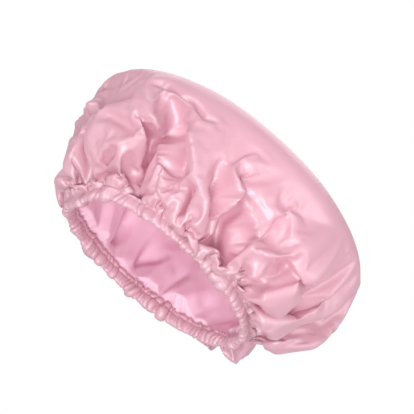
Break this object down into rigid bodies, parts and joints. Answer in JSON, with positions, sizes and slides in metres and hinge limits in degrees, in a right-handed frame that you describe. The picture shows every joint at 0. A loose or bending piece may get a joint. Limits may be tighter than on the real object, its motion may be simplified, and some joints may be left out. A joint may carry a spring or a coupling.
{
  "type": "shower cap",
  "caption": "Gathered double-layer shower cap: a puffed satin shell over a waterproof lining, closed by a stretching elastic hem.",
  "frame": {"origin": "on the plane of the rim, under the middle of the cap's box", "axes": "+Z from the mouth up to the crown; +X from the forehead to the nape; +Y to the wearer's right"},
  "size_m": [0.308, 0.2438, 0.143],
  "materials": {
    "satin": "satin",
    "film": "satin",
    "elastic": "matte",
    "thread": "matte"
  },
  "bodies": {
    "front": {"outer_shell_front": "satin", "lining_front": "film", "needle_thread_front": "thread", "bobbin_thread_front": "thread", "elastic_band": "elastic"},
    "back": {"outer_shell_back": "satin", "lining_back": "film", "needle_thread_back": "thread", "bobbin_thread_back": "thread", "elastic_join_tack": "thread"}
  },
  "joints": [
    {"name": "opening_stretch", "type": "slide", "parent": "front", "child": "back", "axis": [1, 0, 0], "range_m": [0, 0.06], "stiffness_N_per_m": 45, "deforming": ["elastic_band"]}
  ]
}
